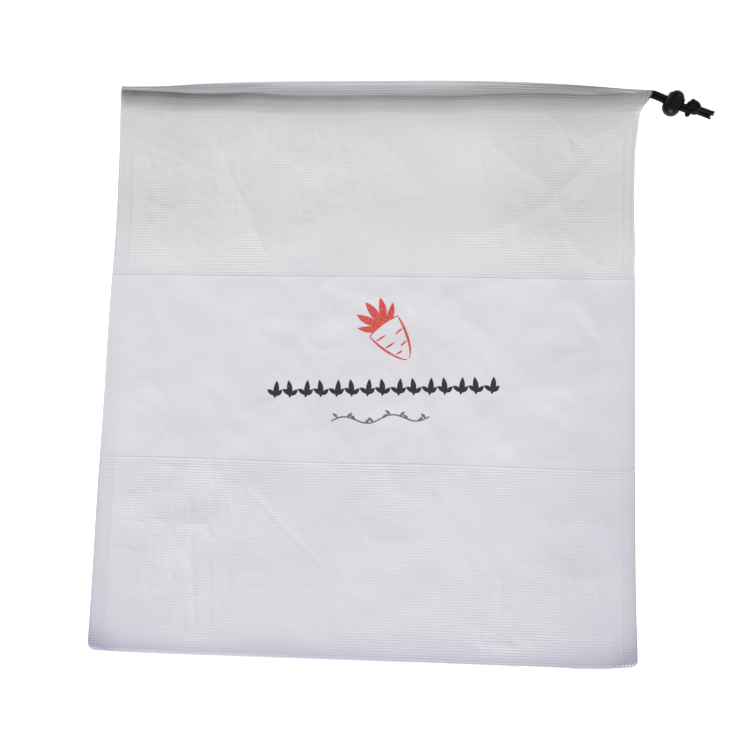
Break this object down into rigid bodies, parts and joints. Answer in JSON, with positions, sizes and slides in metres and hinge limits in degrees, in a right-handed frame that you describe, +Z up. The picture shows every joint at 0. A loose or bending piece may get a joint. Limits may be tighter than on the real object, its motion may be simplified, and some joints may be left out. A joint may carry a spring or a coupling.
{
  "type": "mesh produce bag",
  "caption": "Flat drawstring produce bag of fine mesh with a plain printed band across the middle, a cord casing at the mouth and a sprung cord lock on the cord's tails.",
  "frame": {"origin": "bottom centre of the bag without its free cord and cord lock, on the surface that it lies on", "axes": "+Z up out of the printed front, +Y towards the mouth, +X towards the corner where the cord comes out"},
  "size_m": [0.3632, 0.35, 0.0136],
  "materials": {
    "mesh": "fine warp-knit polyester mesh, white, matte",
    "band": "plain woven polyester, white, matte",
    "thread": "white polyester sewing thread",
    "cord": "black braided polyester cord",
    "lock": "black moulded plastic, satin",
    "spring": "plain steel wire",
    "ink_red": "screen print, matt",
    "ink_black": "screen print, matt",
    "ink_grey": "screen print, matt"
  },
  "bodies": {
    "bag": {"front_upper_mesh": "mesh", "front_center_panel": "band", "lower_mesh": "mesh", "back_upper_mesh": "mesh", "back_center_panel": "band", "front_casing_stitching": "thread", "front_upper_seam_stitching": "thread", "front_lower_seam_stitching": "thread", "back_casing_stitching": "thread", "back_upper_seam_stitching": "thread", "back_lower_seam_stitching": "thread", "left_side_overlock": "thread", "right_side_overlock": "thread", "front_casing_bartack": "thread", "back_casing_bartack": "thread", "printed_carrot": "ink_red", "printed_garland": "ink_black", "printed_flourish": "ink_grey", "drawstring_bight": "cord"},
    "drawstring": {"drawstring_front_run": "cord", "drawstring_back_run": "cord", "drawstring_front_tail": "cord", "drawstring_back_tail": "cord", "drawstring_front_end": "cord", "drawstring_back_end": "cord", "drawstring_knot": "cord"},
    "cord_lock": {"lock_barrel": "lock", "lock_spring": "spring"},
    "lock_button": {"lock_button": "lock"}
  },
  "joints": [
    {"name": "drawstring_pull", "type": "slide", "parent": "bag", "child": "drawstring", "axis": [1, 0, 0], "range_m": [0, 0.15]},
    {"name": "lock_slide", "type": "slide", "parent": "drawstring", "child": "cord_lock", "axis": [0.9063, -0.4226, 0], "range_m": [-0.005, 0.001]},
    {"name": "button_press", "type": "slide", "parent": "cord_lock", "child": "lock_button", "axis": [-0.5, -0.866, 0], "range_m": [0, 0.0015], "stiffness_N_per_m": 300, "springref_m": -0.002, "deforming": ["lock_spring"]}
  ]
}
